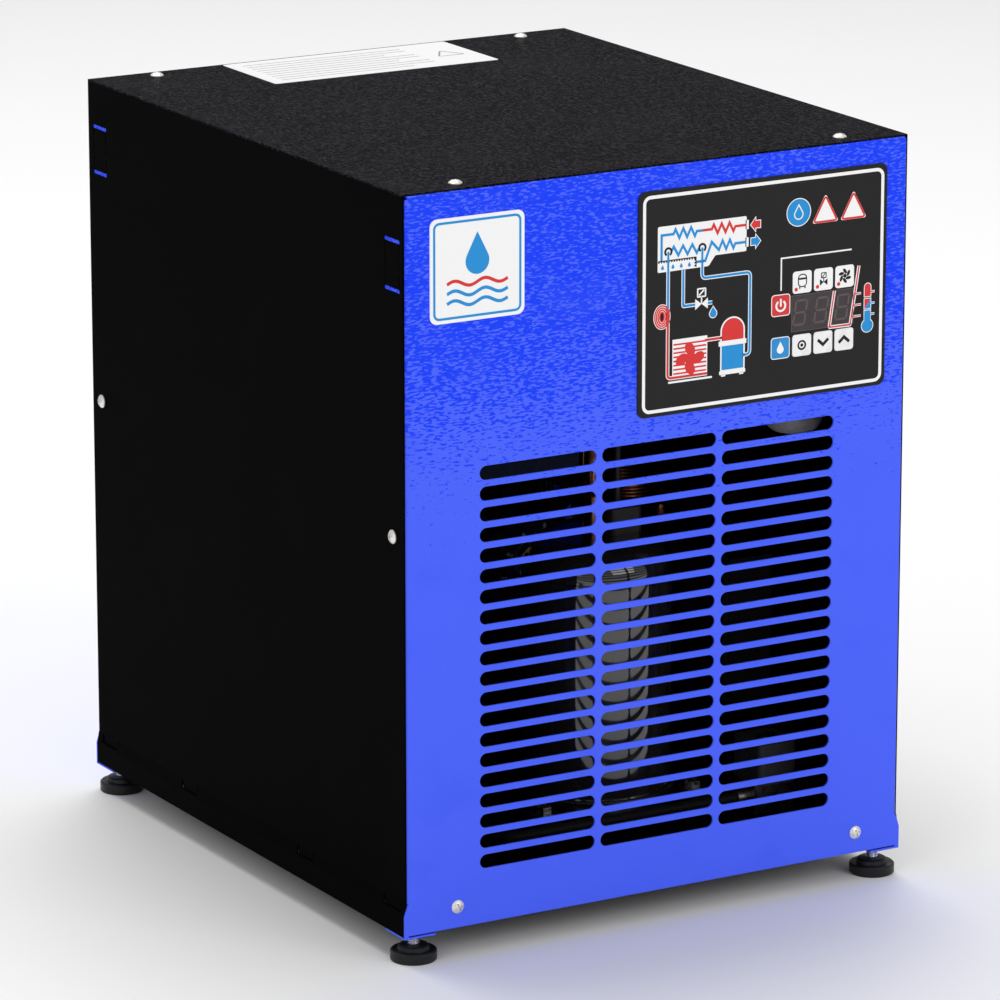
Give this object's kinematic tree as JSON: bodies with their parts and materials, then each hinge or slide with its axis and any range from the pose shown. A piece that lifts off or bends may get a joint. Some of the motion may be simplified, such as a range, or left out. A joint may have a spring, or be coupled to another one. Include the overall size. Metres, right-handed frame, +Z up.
{
  "type": "refrigerated air dryer",
  "caption": "Box-shaped refrigerated compressed air dryer with slotted front grille, control panel with press keys, fan, hermetic circuit and levelling feet.",
  "frame": {"origin": "on the floor under the middle of the dryer's bounding box", "axes": "+Z up, the control panel and grille face -Y, +X to the right seen from the front"},
  "size_m": [0.379, 0.4499, 0.5019],
  "materials": {
    "blue_paint": "blue powder coat with light orange peel",
    "black_paint": "black powder coat, fine texture",
    "charcoal_paint": "charcoal powder coat, coarse texture",
    "label_film": "white film",
    "overlay_film": "printed polyester film",
    "display_lens": "smoked lens",
    "dark_plastic": "moulded, fine grain",
    "circuit_board": "solder mask",
    "key_red": "satin",
    "key_blue": "satin",
    "key_white": "satin",
    "black_rubber": "moulded rubber",
    "foam": "closed-cell foam",
    "zinc": "zinc plated",
    "bare_aluminium": "mill finish",
    "copper_tube": "drawn copper, brazed joints",
    "brass": "machined, nickel tinted"
  },
  "bodies": {
    "case": {"front_panel": "blue_paint", "rear_panel": "blue_paint", "base_tray": "black_paint", "left_side_panel": "black_paint", "right_side_panel": "black_paint", "fan_shroud": "black_paint", "fan_bracket": "black_paint", "exchanger_shelf": "black_paint", "compressor_shell": "black_paint", "compressor_foot_plate": "black_paint", "suction_accumulator": "black_paint", "top_cover": "charcoal_paint", "info_label": "label_film", "front_badge": "label_film", "control_overlay": "overlay_film", "display_window": "display_lens", "controller_housing": "dark_plastic", "terminal_cover": "dark_plastic", "junction_box": "dark_plastic", "power_inlet": "dark_plastic", "drain_valve_coil": "dark_plastic", "controller_board": "circuit_board", "compressor_grommets": "black_rubber", "drain_hose": "black_rubber", "wiring": "black_rubber", "insulation_lower": "foam", "insulation_upper": "foam", "hex_fasteners": "zinc", "case_screws": "zinc", "exchanger_core": "bare_aluminium", "condenser_fins": "bare_aluminium", "run_capacitor": "bare_aluminium", "fan_motor": "bare_aluminium", "condenser_coil": "copper_tube", "filter_drier": "copper_tube", "capillary_tube": "copper_tube", "discharge_pipe": "copper_tube", "liquid_pipe": "copper_tube", "suction_pipe": "copper_tube", "air_inlet_port": "brass", "air_outlet_port": "brass", "drain_outlet": "brass", "drain_valve_body": "brass", "hot_gas_valve": "brass"},
    "power_key": {"key_power": "key_red"},
    "drain_test_key": {"key_drain_test": "key_blue"},
    "set_key": {"key_set": "key_white"},
    "down_key": {"key_down": "key_white"},
    "up_key": {"key_up": "key_white"},
    "fan": {"fan_shaft": "zinc", "fan_blades": "dark_plastic"},
    "drain_core": {"drain_plunger": "zinc"},
    "foot_front_left": {"foot_pad_front_left": "black_rubber", "foot_stud_front_left": "zinc"},
    "foot_front_right": {"foot_pad_front_right": "black_rubber", "foot_stud_front_right": "zinc"},
    "foot_rear_left": {"foot_pad_rear_left": "black_rubber", "foot_stud_rear_left": "zinc"},
    "foot_rear_right": {"foot_pad_rear_right": "black_rubber", "foot_stud_rear_right": "zinc"}
  },
  "joints": [
    {"name": "power_press", "type": "slide", "parent": "case", "child": "power_key", "axis": [0, 1, 0], "range_m": [0, 0.0005], "stiffness_N_per_m": 400, "springref_m": -0.0005},
    {"name": "drain_test_press", "type": "slide", "parent": "case", "child": "drain_test_key", "axis": [0, 1, 0], "range_m": [0, 0.0005], "stiffness_N_per_m": 400, "springref_m": -0.0005},
    {"name": "set_press", "type": "slide", "parent": "case", "child": "set_key", "axis": [0, 1, 0], "range_m": [0, 0.0005], "stiffness_N_per_m": 400, "springref_m": -0.0005},
    {"name": "down_press", "type": "slide", "parent": "case", "child": "down_key", "axis": [0, 1, 0], "range_m": [0, 0.0005], "stiffness_N_per_m": 400, "springref_m": -0.0005},
    {"name": "up_press", "type": "slide", "parent": "case", "child": "up_key", "axis": [0, 1, 0], "range_m": [0, 0.0005], "stiffness_N_per_m": 400, "springref_m": -0.0005},
    {"name": "fan_spin", "type": "hinge", "parent": "case", "child": "fan", "pos_m": [0.08, 0.10395, 0.155], "axis": [0, 1, 0], "continuous": true},
    {"name": "drain_open", "type": "slide", "parent": "case", "child": "drain_core", "axis": [0, 0, 1], "range_m": [0, 0.002]},
    {"name": "screw_front_left", "type": "hinge", "parent": "case", "child": "foot_front_left", "pos_m": [-0.1745, -0.20995, 0.02], "axis": [0, 0, -1], "range_deg": [0, 2880]},
    {"name": "screw_front_right", "type": "hinge", "parent": "case", "child": "foot_front_right", "pos_m": [0.1745, -0.20995, 0.02], "axis": [0, 0, -1], "range_deg": [0, 2880]},
    {"name": "screw_rear_left", "type": "hinge", "parent": "case", "child": "foot_rear_left", "pos_m": [-0.1745, 0.20085, 0.02], "axis": [0, 0, -1], "range_deg": [0, 2880]},
    {"name": "screw_rear_right", "type": "hinge", "parent": "case", "child": "foot_rear_right", "pos_m": [0.1745, 0.20085, 0.02], "axis": [0, 0, -1], "range_deg": [0, 2880]}
  ]
}
